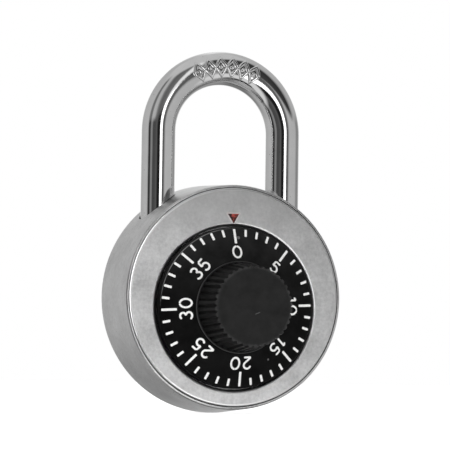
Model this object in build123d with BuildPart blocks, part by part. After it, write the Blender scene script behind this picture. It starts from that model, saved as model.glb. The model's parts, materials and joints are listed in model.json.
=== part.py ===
from build123d import *

import os

os.makedirs("parts", exist_ok=True)

# A dial combination padlock. +X is the viewer's right, the dial faces -Y and the shackle
# points up +Z. The origin is the centre of the flat back, on the case's own axis.
# Every depth below is measured backwards from the front of the face plate.

# ---------------------------------------------------------------- driving dimensions, mm

# case
case_depth = 18.0
case_back_radius = 23.85
case_shoulder_radius = 23.0
case_sheet = 0.8
shoulder_depth = 0.3
shoulder_round = 0.42
widest_depth = 15.5
crimp_depth = 17.9
crimp_sheet = 0.95
crimp_lip_radius = 21.3
back_round = 2.3
cover_panel_gap = 0.1
cover_rim_gap = 0.05
cover_rim_radius = 21.95
cover_edge_round = 0.4
cup_round = 0.5
shell_gap = 0.1
slip = 0.02
cut_margin = 1.0

# face plate and the well that the dial sits in
plate_radius = 22.38
plate_sheet = 0.9
plate_round = 0.45
seam_width = 0.14
well_radius = 16.75
well_lip_sheet = 0.6
well_lip_round = 0.75
well_depth = 2.6

# dial and knob
dial_drop = 2.2
dial_radius = 16.5
dial_edge_depth = -1.119
dial_slope = 0.348
dial_back_depth = 1.9
dial_rim = 1.3
dial_wall = 1.8
dial_hub_radius = 6.2
dial_hub_back_depth = 1.4
dial_edge_round = 0.12
dial_bevel_radius = 16.2
dial_rim_depth = -0.9
knob_seat_radius = 9.6
knob_base_radius = 9.4
knob_base_height = 0.35
knob_base_round = 0.12
knob_foot_radius = 9.1
knob_top_radius = 8.15
knob_top_depth = -12.47
knob_edge = 0.35
knob_flutes = 40
flute_depth = 0.42
flute_reach = 0.8
flute_half_width = 0.85

# shackle
wire_radius = 3.5
leg_spacing = 27.2
leg_depth = 10.75
arch_centre_height = 34.5
toe_end_height = 9.0
heel_end_height = -12.0
leg_chamfer = 0.7
leg_hole_gap = 0.25
guide_gap = 0.08
retainer_radius = 4.1
retainer_groove_radius = 2.9
retainer_groove_height = -10.3
retainer_groove_width = 1.0
retainer_mouth = 4.0

# inner case and plates
inner_wall = 1.2
inner_sheet = 1.0
front_plate_sheet = 1.0

# spindle and tumblers
spindle_radius = 2.5
spindle_flat_width = 4.0
spindle_end_depth = 7.7
spindle_knob_depth = -10.0
running_gap = 0.05
bush_wall = 0.6
bush_flange_radius = 4.2
bush_flange = 0.55
cam_front_depth = 5.1
cam_sheet = 1.6
disc_radius = 9.0
disc_sheet = 1.0
disc_hub_radius = 3.2
disc_hub_length = 1.6
disc_2_depth = 8.9
disc_3_depth = 11.4
gate_width = 2.8
gate_depth = 2.4
false_gate_count = 12
false_gate_radius = 0.55
pickup_radius = 6.0
pickup_size = 1.5
pickup_gap = 0.1
cam_pickup_reach = 1.9
disc_pickup_reach = 1.0
clip_sheet = 0.5
clip_wall = 1.5
clip_groove = 0.6
post_clip_gap = 0.15
post_radius = 2.0
post_front_depth = 8.0
post_flange_radius = 3.2
post_flange_depth = 14.4
post_tenon_radius = 1.6
spacer_radius = 3.6
spacer_sheet = 0.8
drag_washer_inner = 3.4
drag_washer_outer = 5.8
drag_washer_rise = 0.55
washer_sheet = 0.4
tension_washer_outer = 4.4
tension_washer_rise = 0.8

# fence lever
lever_pivot = (7.0, 12.0)
lever_tip = (-4.5, 9.6)
lever_tip_radius = 1.6
lever_hub_radius = 2.3
lever_hub_length = 3.4
lever_sheet = 1.6
fence_width = 2.2
fence_tall = 2.3
fence_gap = 0.55
fence_back_depth = 12.9
pin_radius = 1.25
pin_shoulder_radius = 2.0
pin_head_radius = 2.2
pin_head = 0.6
lever_spring_radius = 2.85
lever_spring_wire = 0.2
lever_spring_pitch = 0.5
lever_spring_turns = 2.5
lever_spring_arm = 5.5
lever_spring_front_depth = 6.95

# latch bolt
bolt_height = 13.9
bolt_tall = 2.6
bolt_thick = 3.5
bolt_nose_x = -11.6
bolt_tail_x = -1.5
bolt_bore_radius = 1.15
bolt_bore = 3.0
bolt_nose_chamfer = 0.4
notch_floor_gap = 0.15
notch_top_gap = 0.25
notch_foot_gap = 0.3
bolt_per_lift = 0.2
latch_wire = 0.18
latch_coil_radius = 0.85
latch_turns = 7.5
guide_wall = 1.0
guide_front_depth = 8.9
latch_guide_left_x = -9.6
latch_guide_right_x = 3.0

# guide blocks
guide_half = 4.6
block_front_depth = 6.15
guide_round = 1.0
toe_guide_bottom = 6.5
toe_guide_height = 4.1
heel_guide_bottom = 4.4
heel_guide_height = 5.0
rivet_radius = 0.6
rivet_length = 2.2
rivet_offset = 3.85
latch_guide_rivets = (-7.0, 1.0)

# ---------------------------------------------------------------- worked out from them

dial_z = -dial_drop
leg_x = leg_spacing / 2
leg_y = leg_depth - case_depth
floor_back_depth = crimp_depth - crimp_sheet - cover_rim_gap - case_sheet
floor_front_depth = floor_back_depth - inner_sheet
front_plate_depth = well_depth + case_sheet
front_plate_back_depth = front_plate_depth + front_plate_sheet
knob_seat_depth = dial_edge_depth - dial_slope * (dial_radius - knob_seat_radius)
dial_bevel_depth = dial_edge_depth - dial_slope * (dial_radius - dial_bevel_radius)
disc_top = dial_z + disc_radius
well_case_radius = well_radius + well_lip_sheet + shell_gap
spindle_hole_radius = spindle_radius + running_gap + bush_wall + slip
cover_panel_radius = crimp_lip_radius - cover_panel_gap
cam_clip_depth = cam_front_depth + cam_sheet + running_gap
post_clip_depth = disc_2_depth - post_clip_gap - clip_sheet
false_gate_step = 360 / (false_gate_count + 1)
fence_bottom = disc_top + fence_gap
bolt_bottom = bolt_height - bolt_tall / 2
bolt_top = bolt_height + bolt_tall / 2
bolt_back_depth = leg_depth + bolt_thick / 2
knob_foot_depth = knob_seat_depth - knob_base_height
dial_inside_slope = dial_slope * (dial_radius - dial_rim - dial_hub_radius)
toe_rivet_height = toe_guide_bottom + toe_guide_height / 2
heel_rivet_height = heel_guide_bottom + heel_guide_height / 2
rivet_places = [
    *[(-leg_x + side * rivet_offset, toe_rivet_height) for side in (-1, 1)],
    *[(leg_x + side * rivet_offset, heel_rivet_height) for side in (-1, 1)],
    *[(x, bolt_height) for x in latch_guide_rivets],
]
dial_axis = Axis((0, 0, dial_z), (0, 1, 0))
dial_section = Plane.XY.offset(dial_z)
leg_plane = Plane.XZ.offset(-leg_y)


def wall_radius(depth):
    """Outside radius of the case's sloping wall at a depth."""
    share = (depth - shoulder_depth) / (widest_depth - shoulder_depth)
    return case_shoulder_radius + share * (case_back_radius - case_shoulder_radius)


def outline(*points):
    """Turns (radius, depth) pairs into sketch points."""
    return [(radius, depth - case_depth) for radius, depth in points]


def corner(sketch, radius, depth):
    """The sketch's corner nearest to a radius and depth."""
    return sketch.vertices().sort_by_distance((radius, depth - case_depth, 0))[0]


def facing(depth, x=0.0, z=0.0):
    """A plane at a depth that faces the viewer, with its origin at x, z."""
    return Plane(origin=(x, depth - case_depth, z), x_dir=(1, 0, 0), z_dir=(0, -1, 0))


# ---------------------------------------------------------------- case

with BuildPart() as outer_case:
    with BuildSketch(Plane.XY) as case_section:
        flange_back = plate_sheet + case_sheet
        inner_back_radius = case_back_radius - case_sheet
        lip_front = crimp_depth - crimp_sheet
        Polygon(
            *outline(
                (0, plate_sheet),
                (plate_radius + seam_width, plate_sheet),
                (plate_radius + seam_width, shoulder_depth),
                (case_shoulder_radius, shoulder_depth),
                (case_back_radius, widest_depth),
                (case_back_radius, crimp_depth),
                (crimp_lip_radius, crimp_depth),
                (crimp_lip_radius, lip_front),
                (inner_back_radius, lip_front),
                (inner_back_radius, widest_depth),
                (wall_radius(flange_back) - case_sheet, flange_back),
                (0, flange_back),
            ),
            align=None,
        )
        fillet(corner(case_section, case_shoulder_radius, shoulder_depth), shoulder_round)
        fillet(corner(case_section, case_back_radius, crimp_depth), back_round)
        fillet(corner(case_section, inner_back_radius, lip_front), back_round - crimp_sheet)
    revolve(axis=Axis.Y)
    # the well is sunk about the dial's axis, which is lower than the case's
    with BuildSketch(facing(flange_back, z=dial_z)):
        Circle(well_case_radius)
    extrude(amount=case_sheet, mode=Mode.SUBTRACT)
    with BuildSketch(dial_section):
        Polygon(
            *outline(
                (spindle_hole_radius, well_depth),
                (well_case_radius, well_depth),
                (well_case_radius, plate_sheet),
                (well_case_radius + case_sheet, plate_sheet),
                (well_case_radius + case_sheet, front_plate_depth),
                (spindle_hole_radius, front_plate_depth),
            ),
            align=None,
        )
    revolve(axis=dial_axis)
    with BuildSketch(Plane.XY):
        with Locations((-leg_x, leg_y), (leg_x, leg_y)):
            Circle(wire_radius + leg_hole_gap)
    extrude(amount=case_back_radius + cut_margin, mode=Mode.SUBTRACT)
outer_case.part.label = "outer_case"
export_step(outer_case.part, "parts/outer_case.step")

with BuildPart() as face_plate:
    with BuildSketch(facing(plate_sheet)):
        Circle(plate_radius)
        with Locations((0, dial_z)):
            Circle(well_radius, mode=Mode.SUBTRACT)
    extrude(amount=plate_sheet)
    front_edges = face_plate.faces().sort_by(Axis.Y)[0].edges().sort_by(SortBy.LENGTH)
    fillet(front_edges[-1], plate_round)
    fillet(
        face_plate.edges().filter_by_position(Axis.Y, -case_depth - slip, -case_depth + slip)
        .filter_by(GeomType.CIRCLE).sort_by(SortBy.LENGTH)[0],
        well_lip_round,
    )
    with BuildSketch(facing(well_depth - slip, z=dial_z)):
        Circle(well_radius + well_lip_sheet)
        Circle(well_radius, mode=Mode.SUBTRACT)
    extrude(amount=well_depth - slip - plate_sheet)
face_plate.part.label = "face_plate"
export_step(face_plate.part, "parts/face_plate.step")

with BuildPart() as back_cover:
    with BuildSketch(Plane.XY) as cover_section:
        Polygon(
            *outline(
                (0, case_depth),
                (cover_panel_radius, case_depth),
                (cover_panel_radius, floor_back_depth + case_sheet),
                (cover_rim_radius, floor_back_depth + case_sheet),
                (cover_rim_radius, floor_back_depth + slip),
                (cover_panel_radius - case_sheet, floor_back_depth + slip),
                (cover_panel_radius - case_sheet, case_depth - case_sheet),
                (0, case_depth - case_sheet),
            ),
            align=None,
        )
        fillet(corner(cover_section, cover_panel_radius, case_depth), cover_edge_round)
    revolve(axis=Axis.Y)
back_cover.part.label = "back_cover"
export_step(back_cover.part, "parts/back_cover.step")

with BuildPart() as inner_case:
    with BuildSketch(Plane.XY) as cup_section:
        cup_front_radius = wall_radius(front_plate_back_depth) - case_sheet - shell_gap
        cup_back_radius = case_back_radius - case_sheet - shell_gap
        Polygon(
            *outline(
                (0, floor_back_depth),
                (cup_back_radius, floor_back_depth),
                (cup_back_radius, widest_depth),
                (cup_front_radius, front_plate_back_depth),
                (cup_front_radius - inner_wall, front_plate_back_depth),
                (cup_back_radius - inner_wall, floor_front_depth),
                (0, floor_front_depth),
            ),
            align=None,
        )
        fillet(corner(cup_section, cup_back_radius, floor_back_depth), cup_round)
    revolve(axis=Axis.Y)
    with BuildSketch(Plane.XY):
        with Locations((-leg_x, leg_y), (leg_x, leg_y)):
            Circle(wire_radius + leg_hole_gap)
    extrude(amount=case_back_radius + cut_margin, mode=Mode.SUBTRACT)
    with BuildSketch(facing(floor_back_depth)):
        with Locations((0, dial_z)):
            Circle(post_tenon_radius + slip)
        with Locations(*rivet_places):
            Circle(rivet_radius + slip)
    extrude(amount=inner_sheet, mode=Mode.SUBTRACT)
inner_case.part.label = "inner_case"
export_step(inner_case.part, "parts/inner_case.step")

with BuildPart() as front_plate:
    with BuildSketch(facing(front_plate_back_depth)):
        Circle(cup_front_radius - shell_gap)
        with Locations((0, dial_z)):
            Circle(spindle_hole_radius, mode=Mode.SUBTRACT)
        with Locations(lever_pivot):
            Circle(pin_radius + slip, mode=Mode.SUBTRACT)
    extrude(amount=front_plate_sheet)
front_plate.part.label = "front_plate"
export_step(front_plate.part, "parts/front_plate.step")

# ---------------------------------------------------------------- dial

with BuildPart() as dial:
    with BuildSketch(dial_section) as dial_outline:
        Polygon(
            *outline(
                (spindle_radius + slip, knob_seat_depth),
                (knob_seat_radius, knob_seat_depth),
                (dial_bevel_radius, dial_bevel_depth),
                (dial_radius, dial_rim_depth),
                (dial_radius, dial_back_depth),
                (dial_radius - dial_rim, dial_back_depth),
                (dial_radius - dial_rim, dial_edge_depth + dial_wall),
                (dial_hub_radius, dial_edge_depth + dial_wall - dial_inside_slope),
                (dial_hub_radius, dial_hub_back_depth),
                (spindle_radius + slip, dial_hub_back_depth),
            ),
            align=None,
        )
        fillet(corner(dial_outline, dial_bevel_radius, dial_bevel_depth), dial_edge_round)
        fillet(corner(dial_outline, dial_radius, dial_rim_depth), dial_edge_round)
    revolve(axis=dial_axis)
dial.part.label = "dial"
export_step(dial.part, "parts/dial.step")

# one groove of the knob, which leans in with the knob's taper
with BuildPart() as flute:
    flute_way = Vector(knob_top_radius - knob_foot_radius, knob_top_depth - knob_foot_depth)
    flute_foot = (knob_foot_radius - flute_depth, knob_foot_depth - case_depth, dial_z)
    flute_out = (-flute_way.Y, flute_way.X, 0)
    with BuildSketch(Plane(origin=flute_foot, x_dir=flute_out, z_dir=flute_way)):
        Polygon(
            (0, 0),
            (flute_reach, -flute_half_width),
            (flute_reach, flute_half_width),
            align=None,
        )
    extrude(amount=flute_way.length + cut_margin)

with BuildPart() as knob:
    with BuildSketch(dial_section) as knob_section:
        Polygon(
            *outline(
                (spindle_radius + slip, knob_seat_depth),
                (knob_base_radius, knob_seat_depth),
                (knob_base_radius, knob_foot_depth),
                (knob_foot_radius, knob_foot_depth),
                (knob_top_radius, knob_top_depth),
                (0, knob_top_depth),
                (0, spindle_knob_depth - slip),
                (spindle_radius + slip, spindle_knob_depth - slip),
            ),
            align=None,
        )
        fillet(corner(knob_section, knob_top_radius, knob_top_depth), knob_edge)
        fillet(corner(knob_section, knob_base_radius, knob_foot_depth), knob_base_round)
    revolve(axis=dial_axis)
    add(
        [flute.part.rotate(dial_axis, k * 360 / knob_flutes) for k in range(knob_flutes)],
        mode=Mode.SUBTRACT,
    )
knob.part.label = "knob"
export_step(knob.part, "parts/knob.step")

with BuildPart() as spindle:
    with BuildSketch(facing(spindle_end_depth, z=dial_z)):
        Circle(spindle_radius)
    extrude(amount=spindle_end_depth - spindle_knob_depth)
    with BuildSketch(facing(spindle_end_depth, z=dial_z)):
        Circle(spindle_radius)
        Rectangle(spindle_flat_width, 2 * spindle_radius, mode=Mode.SUBTRACT)
    extrude(amount=spindle_end_depth - cam_front_depth, mode=Mode.SUBTRACT)
    with BuildSketch(facing(cam_clip_depth + clip_sheet + slip, z=dial_z)):
        Circle(spindle_radius)
        Circle(spindle_radius - clip_groove, mode=Mode.SUBTRACT)
    extrude(amount=clip_sheet + 2 * slip, mode=Mode.SUBTRACT)
spindle.part.label = "spindle"
export_step(spindle.part, "parts/spindle.step")

with BuildPart() as spindle_clip:
    with BuildSketch(facing(cam_clip_depth + clip_sheet, z=dial_z)):
        Circle(spindle_radius - clip_groove + slip + clip_wall)
        Circle(spindle_radius - clip_groove + slip, mode=Mode.SUBTRACT)
        with Locations((0, -spindle_radius)):
            Rectangle(2 * (spindle_radius - clip_groove), 2 * spindle_radius, mode=Mode.SUBTRACT)
    extrude(amount=clip_sheet)
spindle_clip.part.label = "spindle_clip"
export_step(spindle_clip.part, "parts/spindle_clip.step")

with BuildPart() as spindle_bush:
    with BuildSketch(dial_section):
        Polygon(
            *outline(
                (spindle_radius + running_gap, well_depth),
                (spindle_hole_radius - slip, well_depth),
                (spindle_hole_radius - slip, front_plate_back_depth),
                (bush_flange_radius, front_plate_back_depth),
                (bush_flange_radius, front_plate_back_depth + bush_flange),
                (spindle_radius + running_gap, front_plate_back_depth + bush_flange),
            ),
            align=None,
        )
    revolve(axis=dial_axis)
spindle_bush.part.label = "spindle_bush"
export_step(spindle_bush.part, "parts/spindle_bush.step")

with BuildPart() as dial_spring_washer:
    with BuildSketch(dial_section):
        drag_front = dial_hub_back_depth + 2 * running_gap
        Polygon(
            *outline(
                (drag_washer_inner, drag_front),
                (drag_washer_inner, drag_front + washer_sheet),
                (drag_washer_outer, drag_front + drag_washer_rise + washer_sheet),
                (drag_washer_outer, drag_front + drag_washer_rise),
            ),
            align=None,
        )
    revolve(axis=dial_axis)
dial_spring_washer.part.label = "dial_spring_washer"
export_step(dial_spring_washer.part, "parts/dial_spring_washer.step")

# ---------------------------------------------------------------- tumblers


def pickup_tab(side, half):
    """Places a pick-up tab beside the line through the dial's axis, on one side of it."""
    return (side * pickup_radius, half * (pickup_size + pickup_gap) / 2)


with BuildPart() as drive_cam:
    with BuildSketch(facing(cam_front_depth + cam_sheet, z=dial_z)):
        Circle(disc_radius)
        with Locations((0, disc_radius)):
            Rectangle(gate_width, 2 * gate_depth, mode=Mode.SUBTRACT)
        with PolarLocations(
            disc_radius,
            false_gate_count,
            start_angle=90 + false_gate_step,
            angular_range=360 - 2 * false_gate_step,
            endpoint=True,
        ):
            Circle(false_gate_radius, mode=Mode.SUBTRACT)
    extrude(amount=cam_sheet)
    with BuildSketch(facing(cam_front_depth + cam_sheet, z=dial_z)):
        Circle(spindle_radius + slip)
        Rectangle(spindle_flat_width + 2 * slip, 2 * disc_radius, mode=Mode.INTERSECT)
    extrude(amount=cam_sheet, mode=Mode.SUBTRACT)
    with BuildSketch(facing(cam_front_depth + cam_sheet + cam_pickup_reach, z=dial_z)):
        with Locations(pickup_tab(1, -1)):
            Rectangle(pickup_size, pickup_size)
    extrude(amount=cam_pickup_reach)
drive_cam.part.label = "drive_cam"
export_step(drive_cam.part, "parts/drive_cam.step")


def make_disc(node, hub_front_depth, tabs):
    """A loose tumbler: a hub, a plate with one gate, and a pick-up tab per (plane, place)."""
    plate_back_depth = hub_front_depth + (disc_hub_length + disc_sheet) / 2
    with BuildPart() as disc:
        with BuildSketch(facing(plate_back_depth, z=dial_z)):
            Circle(disc_radius)
            with Locations((0, disc_radius)):
                Rectangle(gate_width, 2 * gate_depth, mode=Mode.SUBTRACT)
        extrude(amount=disc_sheet)
        with BuildSketch(facing(hub_front_depth + disc_hub_length, z=dial_z)):
            Circle(disc_hub_radius)
        extrude(amount=disc_hub_length)
        with BuildSketch(facing(hub_front_depth + disc_hub_length, z=dial_z)):
            Circle(post_radius + running_gap)
        extrude(amount=disc_hub_length, mode=Mode.SUBTRACT)
        for behind, place in tabs:
            tab_back = plate_back_depth + behind * (disc_pickup_reach + disc_sheet) - disc_sheet
            with BuildSketch(facing(tab_back, z=dial_z)):
                with Locations(place):
                    Rectangle(pickup_size, pickup_size)
            extrude(amount=disc_pickup_reach)
    disc.part.label = node
    export_step(disc.part, f"parts/{node}.step")


make_disc("disc_2", disc_2_depth, [(0, pickup_tab(1, 1)), (1, pickup_tab(-1, 1))])
make_disc("disc_3", disc_3_depth, [(0, pickup_tab(-1, -1))])

with BuildPart() as wheel_post:
    with BuildSketch(dial_section):
        Polygon(
            *outline(
                (0, post_front_depth),
                (post_radius, post_front_depth),
                (post_radius, post_clip_depth - slip),
                (post_radius - clip_groove, post_clip_depth - slip),
                (post_radius - clip_groove, post_clip_depth + clip_sheet + slip),
                (post_radius, post_clip_depth + clip_sheet + slip),
                (post_radius, post_flange_depth),
                (post_flange_radius, post_flange_depth),
                (post_flange_radius, floor_front_depth),
                (post_tenon_radius, floor_front_depth),
                (post_tenon_radius, floor_back_depth),
                (0, floor_back_depth),
            ),
            align=None,
        )
    revolve(axis=dial_axis)
wheel_post.part.label = "wheel_post"
export_step(wheel_post.part, "parts/wheel_post.step")

with BuildPart() as post_clip:
    with BuildSketch(facing(post_clip_depth + clip_sheet, z=dial_z)):
        Circle(post_radius - clip_groove + slip + clip_wall)
        Circle(post_radius - clip_groove + slip, mode=Mode.SUBTRACT)
        with Locations((0, -post_radius)):
            Rectangle(2 * (post_radius - clip_groove), 2 * post_radius, mode=Mode.SUBTRACT)
    extrude(amount=clip_sheet)
post_clip.part.label = "post_clip"
export_step(post_clip.part, "parts/post_clip.step")

with BuildPart() as disc_spacer:
    with BuildSketch(facing(disc_3_depth - running_gap, z=dial_z)):
        Circle(spacer_radius)
        Circle(post_radius + slip, mode=Mode.SUBTRACT)
    extrude(amount=spacer_sheet)
disc_spacer.part.label = "disc_spacer"
export_step(disc_spacer.part, "parts/disc_spacer.step")

with BuildPart() as disc_tension_washer:
    with BuildSketch(dial_section):
        washer_back = post_flange_depth - slip
        Polygon(
            *outline(
                (post_radius + slip, washer_back - washer_sheet),
                (post_radius + slip, washer_back),
                (tension_washer_outer, washer_back - tension_washer_rise),
                (tension_washer_outer, washer_back - tension_washer_rise - washer_sheet),
            ),
            align=None,
        )
    revolve(axis=dial_axis)
disc_tension_washer.part.label = "disc_tension_washer"
export_step(disc_tension_washer.part, "parts/disc_tension_washer.step")

# ---------------------------------------------------------------- fence lever

with BuildPart() as fence_lever:
    with BuildSketch(facing(cam_front_depth + lever_sheet)):
        with Locations(lever_pivot):
            Circle(lever_hub_radius)
        with Locations(lever_tip):
            Circle(lever_tip_radius)
        make_hull()
    extrude(amount=lever_sheet)
    with BuildSketch(facing(cam_front_depth + lever_hub_length)):
        with Locations(lever_pivot):
            Circle(lever_hub_radius)
    extrude(amount=lever_hub_length)
    with BuildSketch(facing(fence_back_depth)):
        with Locations((0, fence_bottom + fence_tall / 2)):
            Rectangle(fence_width, fence_tall)
    extrude(amount=fence_back_depth - cam_front_depth)
    with BuildSketch(facing(cam_front_depth + lever_hub_length)):
        with Locations(lever_pivot):
            Circle(pin_radius + running_gap)
    extrude(amount=lever_hub_length, mode=Mode.SUBTRACT)
fence_lever.part.label = "fence_lever"
export_step(fence_lever.part, "parts/fence_lever.step")

with BuildPart() as lever_pin:
    pin_head_depth = cam_front_depth + lever_hub_length + 2 * running_gap
    with BuildSketch(facing(pin_head_depth)):
        with Locations(lever_pivot):
            Circle(pin_radius)
    extrude(amount=pin_head_depth - front_plate_depth)
    with BuildSketch(facing(pin_head_depth + pin_head)):
        with Locations(lever_pivot):
            Circle(pin_head_radius)
    extrude(amount=pin_head)
    with BuildSketch(facing(cam_front_depth - 2 * running_gap)):
        with Locations(lever_pivot):
            Circle(pin_shoulder_radius)
    extrude(amount=cam_front_depth - 2 * running_gap - front_plate_back_depth)
lever_pin.part.label = "lever_pin"
export_step(lever_pin.part, "parts/lever_pin.step")

with BuildPart() as lever_spring:
    coil_centre = (lever_pivot[0], lever_spring_front_depth - case_depth, lever_pivot[1])
    with BuildLine() as lever_path:
        lever_coil = Helix(
            lever_spring_pitch,
            lever_spring_turns * lever_spring_pitch,
            lever_spring_radius,
            center=coil_centre,
            direction=(0, 1, 0),
        )
        Line(lever_coil @ 0 - lever_spring_arm * (lever_coil % 0), lever_coil @ 0)
        Line(lever_coil @ 1, lever_coil @ 1 + lever_spring_arm * (lever_coil % 1))
    lever_wire = lever_path.wire()
    with BuildSketch(lever_wire ^ 0):
        Circle(lever_spring_wire)
    sweep(path=lever_wire)
lever_spring.part.label = "lever_spring"
export_step(lever_spring.part, "parts/lever_spring.step")

# ---------------------------------------------------------------- latch bolt

with BuildPart() as latch_bolt:
    with BuildSketch(facing(bolt_back_depth)):
        with Locations(((bolt_nose_x + bolt_tail_x) / 2, bolt_height)):
            Rectangle(bolt_tail_x - bolt_nose_x, bolt_tall)
    extrude(amount=bolt_thick)
    nose = latch_bolt.faces().sort_by(Axis.X)[0]
    chamfer(nose.edges().filter_by(Axis.Y), bolt_nose_chamfer)
    with BuildSketch(Plane(origin=(bolt_tail_x, leg_y, bolt_height), z_dir=(-1, 0, 0))):
        Circle(bolt_bore_radius)
    extrude(amount=bolt_bore, mode=Mode.SUBTRACT)
latch_bolt.part.label = "latch_bolt"
export_step(latch_bolt.part, "parts/latch_bolt.step")

with BuildPart() as latch_spring:
    spring_left_x = bolt_tail_x - bolt_bore + latch_wire + slip
    spring_length = latch_guide_right_x - latch_wire - slip - spring_left_x
    with BuildLine() as latch_coil:
        Helix(
            spring_length / latch_turns,
            spring_length,
            latch_coil_radius,
            center=(spring_left_x, leg_y, bolt_height),
            direction=(1, 0, 0),
        )
    with BuildSketch(latch_coil.line ^ 0):
        Circle(latch_wire)
    sweep(path=latch_coil.line, is_frenet=True)
latch_spring.part.label = "latch_spring"
export_step(latch_spring.part, "parts/latch_spring.step")

with BuildPart() as latch_guide:
    channel_half = bolt_tall / 2 + guide_gap
    guide_right_x = latch_guide_right_x + guide_wall
    channel_floor_depth = bolt_back_depth + guide_gap
    with BuildSketch(facing(floor_front_depth)):
        with Locations(((latch_guide_left_x + guide_right_x) / 2, bolt_height)):
            Rectangle(guide_right_x - latch_guide_left_x, 2 * (channel_half + guide_wall))
    extrude(amount=floor_front_depth - guide_front_depth)
    with BuildSketch(facing(channel_floor_depth)):
        with Locations((latch_guide_right_x, bolt_height)):
            Rectangle(
                latch_guide_right_x - latch_guide_left_x,
                2 * channel_half,
                align=(Align.MAX, Align.CENTER),
            )
    extrude(amount=channel_floor_depth - guide_front_depth, mode=Mode.SUBTRACT)
    with BuildSketch(facing(floor_front_depth)):
        with Locations(*[(x, bolt_height) for x in latch_guide_rivets]):
            Circle(rivet_radius + slip)
    extrude(amount=rivet_length - inner_sheet + slip, mode=Mode.SUBTRACT)
latch_guide.part.label = "latch_guide"
export_step(latch_guide.part, "parts/latch_guide.step")

# ---------------------------------------------------------------- shackle and its guides


def make_guide(node, x, bottom, height, rivet_height):
    """A block on the inner case's floor, bored for one leg of the shackle."""
    with BuildPart() as guide:
        with BuildSketch(Plane.XY.offset(bottom)):
            with Locations((x, (block_front_depth + floor_front_depth) / 2 - case_depth)):
                RectangleRounded(
                    2 * guide_half, floor_front_depth - block_front_depth, guide_round
                )
            with Locations((x, leg_y)):
                Circle(wire_radius + guide_gap, mode=Mode.SUBTRACT)
        extrude(amount=height)
        with BuildSketch(facing(floor_front_depth, x=x, z=rivet_height)):
            with Locations((-rivet_offset, 0), (rivet_offset, 0)):
                Circle(rivet_radius + slip)
        extrude(amount=rivet_length - inner_sheet + slip, mode=Mode.SUBTRACT)
    guide.part.label = node
    export_step(guide.part, f"parts/{node}.step")


make_guide("toe_guide", -leg_x, toe_guide_bottom, toe_guide_height, toe_rivet_height)
make_guide("heel_guide", leg_x, heel_guide_bottom, heel_guide_height, heel_rivet_height)

with BuildPart() as guide_rivets:
    with BuildSketch(facing(floor_back_depth)):
        with Locations(*rivet_places):
            Circle(rivet_radius)
    extrude(amount=rivet_length)
guide_rivets.part.label = "guide_rivets"
export_step(guide_rivets.part, "parts/guide_rivets.step")

with BuildPart() as shackle:
    with BuildLine(leg_plane) as bar_path:
        Line((leg_x, heel_end_height), (leg_x, arch_centre_height))
        CenterArc((0, arch_centre_height), leg_x, 0, 180)
        Line((-leg_x, arch_centre_height), (-leg_x, toe_end_height))
    with BuildSketch(Plane(origin=(leg_x, leg_y, heel_end_height), z_dir=(0, 0, 1))):
        Circle(wire_radius)
    sweep(path=bar_path.line)
    end_edges = shackle.faces().filter_by(Plane.XY).edges()
    chamfer(end_edges, leg_chamfer)
    # the notch's foot is a ramp that pushes the bolt back as the leg rises
    with BuildSketch(leg_plane):
        notch_floor = bolt_nose_x - notch_floor_gap
        ramp_top = bolt_bottom - notch_foot_gap
        toe_floor = notch_floor + bolt_per_lift * (ramp_top - toe_end_height + leg_chamfer)
        Polygon(
            (0, bolt_top + notch_top_gap),
            (notch_floor, bolt_top + notch_top_gap),
            (notch_floor, ramp_top),
            (toe_floor, toe_end_height - leg_chamfer),
            (0, toe_end_height - leg_chamfer),
            align=None,
        )
    extrude(amount=2 * wire_radius, both=True, mode=Mode.SUBTRACT)
    with BuildSketch(Plane.XY.offset(retainer_groove_height)):
        with Locations((leg_x, leg_y)):
            Circle(2 * wire_radius)
            Circle(retainer_groove_radius, mode=Mode.SUBTRACT)
    extrude(amount=retainer_groove_width, mode=Mode.SUBTRACT)
shackle.part.label = "shackle"
export_step(shackle.part, "parts/shackle.step")

with BuildPart() as shackle_retainer:
    with BuildSketch(Plane.XY.offset(retainer_groove_height + slip)):
        with Locations((leg_x, leg_y)):
            Circle(retainer_radius)
            Circle(retainer_groove_radius + slip, mode=Mode.SUBTRACT)
        with Locations((leg_x, leg_y + retainer_radius)):
            Rectangle(retainer_mouth, 2 * retainer_radius, mode=Mode.SUBTRACT)
    extrude(amount=retainer_groove_width - 2 * slip)
shackle_retainer.part.label = "shackle_retainer"
export_step(shackle_retainer.part, "parts/shackle_retainer.step")
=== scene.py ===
import json
import math

import bmesh
import bpy
from mathutils import Matrix, Vector
from mathutils.bvhtree import BVHTree


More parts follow.
